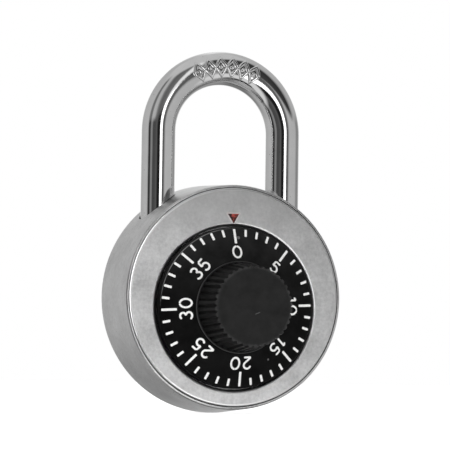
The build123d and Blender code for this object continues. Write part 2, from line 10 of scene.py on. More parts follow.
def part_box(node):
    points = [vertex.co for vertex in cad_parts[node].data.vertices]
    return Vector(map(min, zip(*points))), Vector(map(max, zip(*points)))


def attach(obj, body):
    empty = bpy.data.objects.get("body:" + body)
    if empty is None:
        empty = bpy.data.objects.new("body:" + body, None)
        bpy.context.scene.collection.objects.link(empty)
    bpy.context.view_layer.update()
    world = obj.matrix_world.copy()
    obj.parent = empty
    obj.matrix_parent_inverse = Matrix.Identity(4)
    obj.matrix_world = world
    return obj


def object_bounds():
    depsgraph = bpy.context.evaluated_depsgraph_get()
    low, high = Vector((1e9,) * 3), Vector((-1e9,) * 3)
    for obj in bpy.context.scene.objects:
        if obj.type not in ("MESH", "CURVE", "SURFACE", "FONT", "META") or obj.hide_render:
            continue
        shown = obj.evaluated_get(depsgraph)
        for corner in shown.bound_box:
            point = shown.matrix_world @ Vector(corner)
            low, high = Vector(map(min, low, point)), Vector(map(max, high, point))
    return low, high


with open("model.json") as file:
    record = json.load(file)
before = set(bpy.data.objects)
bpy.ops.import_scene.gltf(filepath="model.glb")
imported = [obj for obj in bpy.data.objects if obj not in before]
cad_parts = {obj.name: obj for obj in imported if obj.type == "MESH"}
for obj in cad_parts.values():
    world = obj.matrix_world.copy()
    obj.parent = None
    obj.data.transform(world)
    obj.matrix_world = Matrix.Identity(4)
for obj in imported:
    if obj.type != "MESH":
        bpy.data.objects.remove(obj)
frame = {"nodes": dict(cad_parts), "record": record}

# The looks of a dial combination padlock. Everything is in the CAD model's own frame, in metres:
# +X is the viewer's right, the dial faces -Y and the shackle points up +Z.

MM = 0.001
cad_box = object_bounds()
nodes = frame["nodes"]

# ---------------------------------------------------------------- sizes

# what the CAD model already has
WELL_RADIUS = 16.75 * MM
PLATE_RADIUS = 22.38 * MM
SEAM_WIDTH = 0.14 * MM
DIAL_CORNER_RADIUS = 16.2 * MM
KNOB_FOOT_RADIUS = 9.2 * MM

# the markings on the dial
DIAL_TURN = math.radians(-2.81)
NUMBER_COUNT = 40
NUMBER_STEP = 5
TICK_OUTER = 16.05 * MM
TICK_INNER = 14.55 * MM
LONG_TICK_INNER = 13.05 * MM
TICK_WIDTH = 0.56 * MM
TICK_CORNER = 0.16 * MM
NUMERAL_RADIUS = 11.32 * MM
NUMERAL_HEIGHT = 2.75 * MM
NUMERAL_STROKE = 0.165
NUMERAL_GAP = 0.17
INK_RISE = 0.03 * MM
INK_SINK = 0.05 * MM

# the index mark on the face plate
INDEX_TURN = math.radians(-1.5)
INDEX_WIDTH = 2.95 * MM
INDEX_HEIGHT = 2.42 * MM
INDEX_TIP_GAP = 0.22 * MM
INDEX_CORNER = 0.10 * MM
OUTLINE_STEP = 0.2 * MM
FILL_SCALES = (0.9, 0.75, 0.6, 0.4, 0.2)
INDEX_RIM = 0.34 * MM
INDEX_RIM_RISE = 0.05 * MM

# the raised pattern on the shackle's arch
PATTERN_HALF = 7.3 * MM
PATTERN_CELLS = 6
PATTERN_REACH = 1.75 * MM
RIB_WIDTH = 0.72 * MM
RIB_RISE = 0.45 * MM
RIB_CORNER = 0.25 * MM
PIP_SIZE = 0.85 * MM
PATTERN_STEP = 0.25 * MM

# where each change of tone on a surface begins and where it is full, in that order
LIP_FADE = (0.45 * MM, 0.75 * MM)
RIM_FADE = (0.58 * MM, 0.38 * MM)
DARKER_HEIGHT = (14.0 * MM, 22.0 * MM)
SEAM_TOP_DEPTH = (0.35 * MM, 0.55 * MM)
SEAM_BOTTOM_DEPTH = (1.0 * MM, 1.2 * MM)
SEAM_SIDE_FADE = (0.01 * MM, 0.04 * MM)
CORNER_GLINT_FADE = (0.04 * MM, 0.11 * MM)
UPPER_LEFT = (20.5 * MM, 26.5 * MM)
PALER_HEIGHT = 16.0 * MM
KNOB_TOP_RIM = (7.45 * MM, 7.85 * MM)
KNOB_TOP_DEPTH = (0.12 * MM, 0.55 * MM)
KNOB_FOOT_FADE = 0.1 * MM

# the scratch on the knob's top
SCRATCH_PLACE = (0.75 * MM, -1.35 * MM)
SCRATCH_TURN = math.radians(22.0)
SCRATCH_HALF_LENGTH = (0.35 * MM, 0.65 * MM)
SCRATCH_HALF_WIDTH = (0.04 * MM, 0.12 * MM)

# the floor
FLOOR_HALF = 3.0
FLOOR_CELLS = 8
FLOOR_CLOUD = 0.35
FLOOR_GLOW = 0.75

# lights: places in metres, widths and heights, and powers in watts
SOFTBOX_PLACE = (-0.35, -0.55, 0.75)
SOFTBOX_SIZE = (0.5, 0.5)
SOFTBOX_POWER = 4.0
LOW_CARD_PLACE = (0.014, -0.105, -0.066)
LOW_CARD_AIM_HEIGHT = -0.02
LOW_CARD_SIZE = (0.09, 0.09)
LOW_CARD_POWER = 0.015
SIDE_CARD_PLACE = (-0.55, -0.20, 0.10)
SIDE_CARD_SIZE = (0.30, 0.90)
SIDE_CARD_POWER = 2.8

# the camera
CAMERA_PLACE = (-0.16677, -0.52262, -0.01667)
CAMERA_AZIMUTH = math.radians(-18.05)
CAMERA_ELEVATION = math.radians(-3.38)
CAMERA_ROLL = math.radians(0.80)
CAMERA_LENS = 208.0
CAMERA_SENSOR = 36.0
CAMERA_CLIP = (0.01, 20.0)


# ---------------------------------------------------------------- materials

# most of a noise lies between these values, so they are what it is stretched from
NOISE_LOW = 0.35
NOISE_HIGH = 0.65
CLOUD_HIGH = 0.7
# the share of a cell's size that a speck takes up
SPECK_RADIUS = 0.16


class Paint:
    """One procedural material: each call adds a node and returns the socket to use."""

    def __init__(self, name):
        self.material = bpy.data.materials.new(name)
        self.material.use_nodes = True
        self.tree = self.material.node_tree
        self.shader = self.tree.nodes["Principled BSDF"]
        self.place = self.node("ShaderNodeTexCoord").outputs["Object"]

    def node(self, kind, **settings):
        made = self.tree.nodes.new(kind)
        for key, value in settings.items():
            setattr(made, key, value)
        return made

    def feed(self, socket, value):
        if isinstance(value, bpy.types.NodeSocket):
            self.tree.links.new(value, socket)
        else:
            socket.default_value = value

    def set(self, **values):
        """Sets or links the shader's own sockets."""
        for key, value in values.items():
            self.feed(self.shader.inputs[key.replace("_", " ")], value)

    def noise(self, size, detail=2.0, roughness=0.5, stretch=None, twist=0.0):
        """Cloudy noise from 0 to 1 whose features are about size metres across."""
        made = self.node("ShaderNodeTexNoise")
        place = self.place
        if stretch:
            scaled = self.node("ShaderNodeMapping")
            self.feed(scaled.inputs["Vector"], place)
            scaled.inputs["Scale"].default_value = stretch
            place = scaled.outputs["Vector"]
        self.feed(made.inputs["Vector"], place)
        made.inputs["Scale"].default_value = 1.0 / size
        made.inputs["Detail"].default_value = detail
        made.inputs["Roughness"].default_value = roughness
        made.inputs["Distortion"].default_value = twist
        return made.outputs["Fac"]

    def specks(self, size, share):
        """Round specks, 1 inside and 0 outside, in a share of cells size metres apart."""
        cells = self.node("ShaderNodeTexVoronoi")
        self.feed(cells.inputs["Vector"], self.place)
        cells.inputs["Scale"].default_value = 1.0 / size
        near = self.math("LESS_THAN", cells.outputs["Distance"], SPECK_RADIUS)
        chosen = self.math("GREATER_THAN", self.split(cells.outputs["Color"], "X"), 1.0 - share)
        return self.math("MULTIPLY", near, chosen)

    def split(self, vector, axis):
        parts = self.node("ShaderNodeSeparateXYZ")
        self.feed(parts.inputs[0], vector)
        return parts.outputs[axis]

    def math(self, operation, a, b=0.0):
        made = self.node("ShaderNodeMath", operation=operation)
        self.feed(made.inputs[0], a)
        self.feed(made.inputs[1], b)
        return made.outputs[0]

    def spread(self, value, low, high, to_low, to_high):
        """Maps a value from one range to another, clamped."""
        made = self.node("ShaderNodeMapRange")
        self.feed(made.inputs["Value"], value)
        for key, number in (
            ("From Min", low), ("From Max", high), ("To Min", to_low), ("To Max", to_high)
        ):
            self.feed(made.inputs[key], number)
        return made.outputs["Result"]

    def radius(self, middle_z):
        """Distance from an axis along Y at x 0 and a height."""
        x = self.split(self.place, "X")
        z = self.math("SUBTRACT", self.split(self.place, "Z"), middle_z)
        return self.math("SQRT", self.math("ADD", self.math("MULTIPLY", x, x), self.math("MULTIPLY", z, z)))

    def upper_left(self):
        """1 at the dial's upper left, 0 at its lower right, broken up a little."""
        lean = self.math("SUBTRACT", self.split(self.place, "Z"), self.split(self.place, "X"))
        patches = self.math("MULTIPLY", self.noise(2.0 * MM, detail=3.0), 12.0 * MM)
        return self.spread(self.math("ADD", lean, patches), *UPPER_LEFT, 0.0, 1.0)

    def mix_value(self, share, a, b):
        made = self.node("ShaderNodeMix", data_type="FLOAT")
        for socket, value in zip(made.inputs, (share, None, a, b)):
            if value is not None:
                self.feed(socket, value)
        return made.outputs[0]

    def mix(self, share, a, b):
        """Mixes two colours, given as sockets or as three numbers."""
        made = self.node("ShaderNodeMix", data_type="RGBA")
        self.feed(made.inputs[0], share)
        for socket, colour in ((made.inputs[6], a), (made.inputs[7], b)):
            self.feed(socket, colour if isinstance(colour, bpy.types.NodeSocket) else (*colour, 1.0))
        return made.outputs[2]

    def bump(self, height, depth, strength=1.0):
        made = self.node("ShaderNodeBump")
        self.feed(made.inputs["Height"], height)
        made.inputs["Distance"].default_value = depth
        made.inputs["Strength"].default_value = strength
        self.feed(self.shader.inputs["Normal"], made.outputs["Normal"])


def grey(value):
    return (value, value, value)


def satin_steel(name, dark, light, rough, grain_stretch=None, finish=None):
    """Blasted stainless sheet: a fine grain, with broad faint blotches and a few rubbed spots.
    finish(paint, colour, roughness, height) may change what belongs to one part only."""
    paint = Paint(name)
    blotch = paint.noise(5.5 * MM, detail=4.0, roughness=0.6)
    speckle = paint.noise(0.75 * MM, detail=3.0, roughness=0.65)
    grain = paint.noise(0.16 * MM, detail=2.0, stretch=grain_stretch)
    rubbed_and_glint = paint.noise(2.2 * MM, detail=5.0, roughness=0.7, twist=0.6)
    tone = paint.math("ADD", paint.math("MULTIPLY", blotch, 0.55), paint.math("MULTIPLY", speckle, 0.45))
    tone = paint.spread(tone, 0.34, 0.66, 0.0, 1.0)
    colour = paint.mix(tone, dark, light)
    worn = paint.spread(rubbed_and_glint, 0.56, 0.70, 0.0, 0.35)
    colour = paint.mix(worn, colour, light)
    roughness = paint.spread(
        paint.math("ADD", paint.math("MULTIPLY", grain, 0.6), paint.math("MULTIPLY", speckle, 0.4)),
        NOISE_LOW, NOISE_HIGH, rough - 0.07, rough + 0.09,
    )
    height = paint.math("ADD", grain, paint.math("MULTIPLY", speckle, 0.6))
    if finish:
        colour, roughness, height = finish(paint, colour, roughness, height)
    paint.set(Base_Color=colour, Metallic=1.0, Roughness=roughness)
    paint.bump(height, 0.006 * MM, 0.6)
    return paint.material


def burnished_edges(paint, colour, roughness, height):
    """The face plate's pressed edges are smooth and bright. Its top is painted darker to match a reference:
    this is painted shade, standing in for how the light fell. Its top is made darker by hand to match a
    reference: whether that is wear or only how the light fell is not known."""
    # painted shade: the plate grows darker towards its top
    toward_top = paint.math(
        "ADD", paint.split(paint.place, "Z"), paint.math("MULTIPLY", paint.noise(4.0 * MM), 6.0 * MM)
    )
    colour = paint.mix(paint.spread(toward_top, *DARKER_HEIGHT, 0.0, 0.55), colour, grey(0.56))
    inner = paint.spread(paint.radius(axis_z), *[WELL_RADIUS + far for far in LIP_FADE], 1.0, 0.0)
    outer = paint.spread(paint.radius(0.0), *[PLATE_RADIUS - far for far in RIM_FADE], 0.0, 1.0)
    edges = paint.math("MAXIMUM", inner, outer)
    smooth = paint.math("MULTIPLY", height, paint.math("SUBTRACT", 1.0, edges))
    return paint.mix(edges, colour, grey(0.92)), paint.mix_value(edges, roughness, 0.38), smooth


def grimy_seam(paint, colour, roughness, height):
    """The groove between the case and the face plate is painted dark in patches: a painted shade standing
    in for the shadow under the plate's lip.
    """
    depth = paint.math("SUBTRACT", paint.split(paint.place, "Y"), plate_low.y)
    depth = paint.math(
        "MULTIPLY",
        paint.spread(depth, *SEAM_TOP_DEPTH, 0.0, 1.0),
        paint.spread(depth, *SEAM_BOTTOM_DEPTH, 1.0, 0.0),
    )
    seam_sides = [PLATE_RADIUS + SEAM_WIDTH + far for far in SEAM_SIDE_FADE]
    inside = paint.spread(paint.radius(0.0), *seam_sides, 1.0, 0.0)
    patchy = paint.spread(paint.noise(1.2 * MM, detail=3.0), 0.3, 0.5, 0.6, 1.0)
    # painted shade, darkest partway down the groove and broken into patches
    seam_shade = paint.math("MULTIPLY", paint.math("MULTIPLY", depth, inside), patchy)
    return paint.mix(seam_shade, colour, grey(0.04)), paint.mix_value(seam_shade, roughness, 0.85), height


def chrome_plate():
    """Bright plating over a ground bar: nearly a mirror, with faint draw lines and fine pits."""
    paint = Paint("chrome_plate")
    haze = paint.noise(3.0 * MM, detail=4.0, roughness=0.6)
    waves = paint.noise(6.0 * MM, detail=2.0)
    lines = paint.noise(0.5 * MM, detail=2.0, stretch=(1.0, 1.0, 0.06))
    pits = paint.specks(0.8 * MM, 0.12)
    tone = paint.spread(haze, 0.35, 0.7, 0.0, 1.0)
    colour = paint.mix(tone, grey(0.80), grey(0.86))
    paint.set(
        Base_Color=paint.mix(paint.math("MULTIPLY", pits, 0.5), colour, grey(0.35)),
        Metallic=1.0,
        Roughness=paint.spread(haze, 0.35, 0.72, 0.045, 0.11),
    )
    lines = paint.math("MULTIPLY", lines, 2.5)
    height = paint.math("ADD", paint.math("MULTIPLY", waves, 12.0), paint.math("SUBTRACT", lines, pits))
    paint.bump(height, 0.002 * MM, 0.6)
    return paint.material


def dial_plastic():
    """Moulded satin black, with a fine texture, a little dust and faint handling marks, and with painted
    light: a paler upper half and a glint on the corner at the upper left.
    """
    paint = Paint("dial_plastic")
    cloud = paint.noise(3.5 * MM, detail=4.0, roughness=0.62)
    grain = paint.noise(0.11 * MM, detail=2.0)
    dust = paint.specks(2.2 * MM, 0.03)
    scuffs = paint.noise(0.9 * MM, detail=4.0, roughness=0.7, twist=1.5)
    scuffs = paint.spread(scuffs, 0.66, 0.74, 0.0, 0.5)
    colour = paint.mix(paint.spread(cloud, NOISE_LOW, CLOUD_HIGH, 0.0, 1.0), grey(0.0030), grey(0.0066))
    colour = paint.mix(scuffs, colour, grey(0.014))
    # the upper half is painted paler to match a reference: a painted sheen that stands in for how the light
    # fell on it; the upper half is made paler by hand to match a reference: whether that is dust or only
    # how the light fell is not known
    upper = paint.spread(paint.split(paint.place, "Z"), axis_z, axis_z + PALER_HEIGHT, 0.0, 1.0)
    colour = paint.mix(paint.math("MULTIPLY", upper, cloud), colour, grey(0.030))
    # the corner outside the ticks is painted paler, most of all at the upper left: a painted glint on the
    # edge
    corner = paint.math("ABSOLUTE", paint.math("SUBTRACT", paint.radius(axis_z), DIAL_CORNER_RADIUS))
    rubbed_and_glint = paint.math("MULTIPLY", paint.spread(corner, *CORNER_GLINT_FADE, 1.0, 0.0), paint.upper_left())
    colour = paint.mix(rubbed_and_glint, colour, grey(0.17))
    paint.set(
        Base_Color=paint.mix(dust, colour, grey(0.12)),
        Roughness=paint.spread(
            paint.math("ADD", paint.math("MULTIPLY", cloud, 0.7), paint.math("MULTIPLY", grain, 0.3)),
            NOISE_LOW, NOISE_HIGH, 0.34, 0.46,
        ),
        Specular_IOR_Level=0.06,
    )
    paint.bump(grain, 0.004 * MM, 0.5)
    return paint.material


def knob_plastic():
    """The same black plastic, handled: a matt top with a scratch, painted paler as a painted sheen, and
    rubbed lighter edges.
    """
    paint = Paint("knob_plastic")
    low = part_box("knob")[0]
    cloud = paint.noise(2.4 * MM, detail=5.0, roughness=0.65)
    grain = paint.noise(0.10 * MM, detail=2.0)
    y = paint.split(paint.place, "Y")
    # the rim of the flat top, rubbed by fingers
    at_rim = paint.spread(paint.radius(axis_z), *KNOB_TOP_RIM, 0.0, 1.0)
    at_front = paint.spread(y, *[low.y + far for far in KNOB_TOP_DEPTH], 1.0, 0.0)
    rim = paint.math("MULTIPLY", at_rim, at_front)
    rim = paint.math("MULTIPLY", rim, paint.spread(cloud, 0.35, 0.6, 0.35, 1.0))
    # one short scratch on the top, below and right of the middle
    from_x = paint.math("SUBTRACT", paint.split(paint.place, "X"), SCRATCH_PLACE[0])
    from_z = paint.math("SUBTRACT", paint.split(paint.place, "Z"), axis_z + SCRATCH_PLACE[1])
    along = paint.math(
        "ADD",
        paint.math("MULTIPLY", from_x, math.cos(SCRATCH_TURN)),
        paint.math("MULTIPLY", from_z, math.sin(SCRATCH_TURN)),
    )
    across = paint.math(
        "SUBTRACT",
        paint.math("MULTIPLY", from_z, math.cos(SCRATCH_TURN)),
        paint.math("MULTIPLY", from_x, math.sin(SCRATCH_TURN)),
    )
    scratch = paint.math(
        "MULTIPLY",
        paint.spread(paint.math("ABSOLUTE", along), *SCRATCH_HALF_LENGTH, 1.0, 0.0),
        paint.spread(paint.math("ABSOLUTE", across), *SCRATCH_HALF_WIDTH, 1.0, 0.0),
    )
    scratch = paint.math("MULTIPLY", scratch, at_front)
    colour = paint.mix(paint.spread(cloud, NOISE_LOW, CLOUD_HIGH, 0.0, 1.0), grey(0.0050), grey(0.0090))
    # the flat top is painted paler: a painted sheen that stands in for how the light fell on it
    colour = paint.mix(paint.math("MULTIPLY", at_front, cloud), colour, grey(0.022))
    colour = paint.mix(paint.math("MULTIPLY", rim, 0.7), colour, grey(0.05))
    foot_ring = (KNOB_FOOT_RADIUS, KNOB_FOOT_RADIUS + KNOB_FOOT_FADE)
    colour = paint.mix(paint.spread(paint.radius(axis_z), *foot_ring, 0.0, 0.6), colour, grey(0.07))
    colour = paint.mix(scratch, colour, grey(0.085))
    paint.set(
        Base_Color=colour,
        Roughness=paint.spread(
            paint.math("ADD", paint.math("MULTIPLY", cloud, 0.6), paint.math("MULTIPLY", grain, 0.4)),
            NOISE_LOW, NOISE_HIGH, 0.40, 0.54,
        ),
        Specular_IOR_Level=0.18,
    )
    paint.bump(paint.math("SUBTRACT", grain, paint.math("MULTIPLY", scratch, 2.0)), 0.005 * MM, 0.6)
    return paint.material


def ink(name, dark, light, size, low, high, rough):
    """Paint filled into a marking: slightly uneven in tone, gloss and height."""
    paint = Paint(name)
    cloud = paint.noise(size, detail=4.0, roughness=0.65)
    fine = paint.noise(0.12 * MM, detail=2.0)
    paint.set(
        Base_Color=paint.mix(paint.spread(cloud, low, high, 0.0, 1.0), dark, light),
        Roughness=paint.spread(fine, NOISE_LOW, NOISE_HIGH, rough - 0.06, rough + 0.08),
    )
    paint.bump(paint.math("ADD", cloud, paint.math("MULTIPLY", fine, 0.3)), 0.006 * MM, 0.5)
    return paint.material


def inner_metal(name, dark, light, rough, tint=None, cast=0.0):
    """A metal inside the lock: mill or casting texture, a faint stain and thin oil."""
    paint = Paint(name)
    stain = paint.noise(2.6 * MM, detail=4.0, roughness=0.6, twist=0.8)
    grain = paint.noise(0.14 * MM, detail=2.0)
    lines = paint.noise(0.35 * MM, detail=2.0, stretch=(0.08, 1.0, 1.0))
    mixed = paint.math("ADD", paint.math("MULTIPLY", stain, 0.6), paint.math("MULTIPLY", lines, 0.4))
    colour = paint.mix(paint.spread(mixed, 0.36, 0.64, 0.0, 1.0), dark, light)
    if tint:
        colour = paint.mix(paint.spread(stain, 0.52, 0.70, 0.0, 0.5), colour, tint)
    texture = paint.noise(0.45 * MM, detail=3.0, roughness=0.7) if cast else lines
    paint.set(
        Base_Color=colour,
        Metallic=1.0,
        Roughness=paint.spread(
            paint.math("ADD", paint.math("MULTIPLY", grain, 0.5), paint.math("MULTIPLY", stain, 0.5)),
            NOISE_LOW, NOISE_HIGH, rough - 0.08, rough + 0.10,
        ),
    )
    paint.bump(paint.math("ADD", texture, grain), (0.004 + 0.02 * cast) * MM, 0.6)
    return paint.material


dial_low, dial_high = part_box("dial")
axis_z = (dial_low.z + dial_high.z) / 2
plate_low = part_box("face_plate")[0]

face_steel = satin_steel("face_steel", grey(0.66), grey(0.98), 0.36, finish=burnished_edges)
wall_steel = satin_steel(
    "wall_steel", grey(0.70), grey(0.92), 0.34, grain_stretch=(1.0, 0.35, 1.0), finish=grimy_seam
)
rim_steel = satin_steel("rim_steel", (0.86, 0.80, 0.79), (0.94, 0.90, 0.89), 0.42)
cover_steel = satin_steel("cover_steel", grey(0.48), grey(0.60), 0.38, grain_stretch=(0.2, 1.0, 1.0))
dial_black = dial_plastic()
knob_black = knob_plastic()
white_ink = ink("white_ink", (0.74, 0.74, 0.73), (0.93, 0.93, 0.92), 0.5 * MM, 0.3, 0.6, 0.5)
red_ink = ink("red_ink", (0.022, 0.002, 0.002), (0.52, 0.07, 0.05), 0.8 * MM, 0.50, 0.68, 0.36)

by_slot = {
    "stainless_steel": wall_steel,
    "chrome": chrome_plate(),
    "black_plastic": dial_black,
    "plated_steel": inner_metal(
        "plated_steel", grey(0.50), (0.64, 0.64, 0.62), 0.36, tint=(0.66, 0.60, 0.44)
    ),
    "spring_steel": inner_metal("spring_steel", (0.30, 0.30, 0.32), (0.46, 0.46, 0.48), 0.28),
    "brass": inner_metal(
        "brass", (0.60, 0.42, 0.16), (0.78, 0.60, 0.28), 0.34, tint=(0.42, 0.26, 0.11)
    ),
    "zinc_casting": inner_metal(
        "zinc_casting", (0.38, 0.38, 0.40), (0.52, 0.52, 0.54), 0.50, cast=1.0
    ),
}
by_node = {"face_plate": face_steel, "back_cover": cover_steel, "knob": knob_black}

for part in frame["record"]["subparts"]:
    name = part["node"]
    finish = by_node.get(name, by_slot[part["material_slot"]])
    if nodes[name].material_slots:
        for held in nodes[name].material_slots:
            held.material = finish
    else:
        nodes[name].data.materials.append(finish)

# ---------------------------------------------------------------- raised strokes

# half a stroke's cross-section, as shares of its half width and of its rise
SECTION = ((-1.0, None), (-0.86, 0.72), (-0.45, 1.0), (0.45, 1.0), (0.86, 0.72), (1.0, None))
CAP_TURNS = (0.10, 0.35, 0.60, 0.80, 0.95)
STROKE_STEP = 0.3 * MM
SHARPEST_BEND = 0.5
CREASE_ANGLE = math.radians(50)


def resample(path, step):
    """The path with points added so that none are further apart than step."""
    made = [Vector(path[0])]
    for a, b in zip(path, path[1:]):
        a, b = Vector(a), Vector(b)
        count = max(1, math.ceil((b - a).length / step))
        made += [a.lerp(b, k / count) for k in range(1, count + 1)]
    return made


def stroke(mesh, path, width, rise, corner, place, step=STROKE_STEP):
    """Adds a closed raised stroke to a bmesh. place(u, v, h) puts a point h above the surface."""
    points = resample(path, step)
    ways = [(b - a).normalized() for a, b in zip(points, points[1:])]
    sections = []
    for turn in CAP_TURNS:
        angle = turn * math.pi / 2
        half = width / 2 - corner * (1 - math.sin(angle))
        sections.append((points[0] - ways[0] * corner * (math.cos(angle) - 1), ways[0], half))
    for before, after, point in zip(ways, ways[1:], points[1:-1]):
        way = (before + after).normalized()
        sections.append((point, way, width / 2 / max(way.dot(after), SHARPEST_BEND)))
    for turn in reversed(CAP_TURNS):
        angle = turn * math.pi / 2
        half = width / 2 - corner * (1 - math.sin(angle))
        sections.append((points[-1] + ways[-1] * corner * (math.cos(angle) - 1), ways[-1], half))
    rings = []
    for point, way, half in sections:
        side = Vector((-way.y, way.x))
        ring = []
        for share, height in SECTION:
            flat = point + side * share * half
            lift = -INK_SINK if height is None else rise * height
            ring.append(mesh.verts.new(place(flat.x, flat.y, lift)))
        rings.append(ring)
    for one, two in zip(rings, rings[1:]):
        for k in range(len(one)):
            mesh.faces.new((one[k], one[k - 1], two[k - 1], two[k]))
    mesh.faces.new(rings[0])
    mesh.faces.new(reversed(rings[-1]))


def finish_piece(mesh, name, material, body):
    """Turns a bmesh into a piece of the object that rides on a body."""
    bmesh.ops.recalc_face_normals(mesh, faces=mesh.faces)
    data = bpy.data.meshes.new(name)
    mesh.to_mesh(data)
    mesh.free()
    data.materials.append(material)
    data.shade_smooth()
    piece = bpy.data.objects.new(name, data)
    bpy.context.scene.collection.objects.link(piece)
    crease = piece.modifiers.new("crease", "EDGE_SPLIT")
    crease.split_angle = CREASE_ANGLE
    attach(piece, body)
    return piece


# ---------------------------------------------------------------- dial markings

surfaces = {
    name: BVHTree.FromPolygons(
        [v.co for v in nodes[name].data.vertices],
        [p.vertices for p in nodes[name].data.polygons],
    )
    for name in ("dial", "face_plate")
}


def front_of(name, x, z):
    """Where the front of a node is at x, z."""
    hit = surfaces[name].ray_cast(Vector((x, cad_box[0].y - MM, z)), Vector((0, 1, 0)))[0]
    return hit.y


def on_dial(turn, radius):
    """A placer for marks drawn upright about a point of the dial."""

    def place(u, v, h):
        out = radius + v
        x = out * math.sin(turn) + u * math.cos(turn)
        z = axis_z + out * math.cos(turn) - u * math.sin(turn)
        return Vector((x, front_of("dial", x, z) - h, z))

    return place


ticks = bmesh.new()
for number in range(NUMBER_COUNT):
    turn = DIAL_TURN + math.tau * number / NUMBER_COUNT
    inner = TICK_INNER if number % NUMBER_STEP else LONG_TICK_INNER
    stroke(ticks, [(0, inner), (0, TICK_OUTER)], TICK_WIDTH, INK_RISE, TICK_CORNER, on_dial(turn, 0))
finish_piece(ticks, "dial_ticks", white_ink, "dial")


def arc(centre, radii, start, end, count=18):
    """Points along an ellipse between two angles in degrees."""
    angles = [math.radians(start + (end - start) * k / count) for k in range(count + 1)]
    return [(centre[0] + radii[0] * math.cos(a), centre[1] + radii[1] * math.sin(a)) for a in angles]


EDGE = NUMERAL_STROKE / 2
TOP = 1 - EDGE
# each digit: its width, then the centre lines of its strokes, all as shares of its height
DIGITS = {
    "0": (0.79, [arc((0.395, 0.5), (0.312, TOP - 0.5), 90, 450, 36)]),
    "1": (0.46, [[(0.30, EDGE), (0.30, TOP)], [(0.30, TOP), (0.09, 0.74)]]),
    "2": (
        0.72,
        [
            [*arc((0.35, 0.655), (0.262, TOP - 0.655), 168, -32), (EDGE + 0.005, EDGE)],
            [(EDGE + 0.005, EDGE), (0.64, EDGE)],
        ],
    ),
    "3": (
        0.70,
        [
            arc((0.335, 0.718), (0.232, TOP - 0.718), 158, -90),
            arc((0.335, 0.3), (0.268, 0.3 - EDGE), 79, -158),
        ],
    ),
    "5": (
        0.70,
        [
            [(0.60, TOP), (0.165, TOP)],
            [(0.165, TOP), (0.115, 0.50)],
            arc((0.342, 0.34), (0.268, 0.34 - EDGE), 144, -155),
        ],
    ),
}

numerals = bmesh.new()
for number in range(0, NUMBER_COUNT, NUMBER_STEP):
    turn = DIAL_TURN + math.tau * number / NUMBER_COUNT
    text = str(number)
    total = sum(DIGITS[digit][0] for digit in text) + NUMERAL_GAP * (len(text) - 1)
    left = -total / 2
    for digit in text:
        width, lines = DIGITS[digit]
        for line in lines:
            path = [((left + u) * NUMERAL_HEIGHT, (v - 0.5) * NUMERAL_HEIGHT) for u, v in line]
            stroke(
                numerals,
                path,
                NUMERAL_STROKE * NUMERAL_HEIGHT,
                INK_RISE,
                NUMERAL_STROKE * NUMERAL_HEIGHT / 2,
                on_dial(turn, NUMERAL_RADIUS),
            )
        left += width + NUMERAL_GAP
finish_piece(numerals, "dial_numerals", white_ink, "dial")

# ---------------------------------------------------------------- index mark

index_tip = WELL_RADIUS + INDEX_TIP_GAP
index_corners = (
    Vector((0, index_tip)),
    Vector((INDEX_WIDTH / 2, index_tip + INDEX_HEIGHT)),
    Vector((-INDEX_WIDTH / 2, index_tip + INDEX_HEIGHT)),
)


def on_plate(u, v, h):
    """A point of the face plate, from the dial's axis and turned to where the index mark is."""
    x = u * math.cos(INDEX_TURN) + v * math.sin(INDEX_TURN)
    z = axis_z + v * math.cos(INDEX_TURN) - u * math.sin(INDEX_TURN)
    return Vector((x, front_of("face_plate", x, z) - h, z))


def triangle(mesh, corners, corner, rings):
    """Adds a solid triangle with blunt corners: rings are (scale about the middle, height)."""
    middle = sum(corners, Vector((0, 0))) / 3
    points = []
    for k, here in enumerate(corners):
        for toward in (corners[k - 1], corners[(k + 1) % 3]):
            points.append(here + (toward - here).normalized() * corner)
    points = resample([*points, points[0]], OUTLINE_STEP)[:-1]
    loops = []
    for scale, lift in rings:
        flat = [middle + (point - middle) * scale for point in points]
        loops.append([mesh.verts.new(on_plate(point.x, point.y, lift)) for point in flat])
    for one, two in zip(loops, loops[1:]):
        for k in range(len(one)):
            mesh.faces.new((one[k], one[k - 1], two[k - 1], two[k]))
    mesh.faces.new(loops[0])
    mesh.faces.new(reversed(loops[-1]))


index = bmesh.new()
shell = [(1.0, -INK_SINK), (1.0, 0.6 * INK_RISE), *[(scale, INK_RISE) for scale in FILL_SCALES]]
triangle(index, index_corners, INDEX_CORNER, shell)
finish_piece(index, "index_mark", red_ink, "case")

index_rim = bmesh.new()
for k, here in enumerate(index_corners):
    there = index_corners[(k + 1) % 3]
    stroke(index_rim, [here, there], INDEX_RIM, INDEX_RIM_RISE, INDEX_RIM / 2, on_plate)
finish_piece(index_rim, "index_rim", rim_steel, "case")

# ---------------------------------------------------------------- pattern on the shackle

bar_low, bar_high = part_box("shackle")
bar_y = (bar_low.y + bar_high.y) / 2
bar_radius = (bar_high.y - bar_low.y) / 2
arch_radius = (bar_high.x - bar_low.x) / 2 - bar_radius
arch_z = bar_high.z - arch_radius - bar_radius


def on_arch(u, v, h):
    """u runs along the bar from the arch's top, v across it from the middle of its front."""
    turn = u / arch_radius
    roll = v / bar_radius
    outward = Vector((math.sin(turn), 0, math.cos(turn)))
    normal = outward * math.sin(roll) + Vector((0, -math.cos(roll), 0))
    return Vector((0, bar_y, arch_z)) + outward * arch_radius + normal * (bar_radius + h)


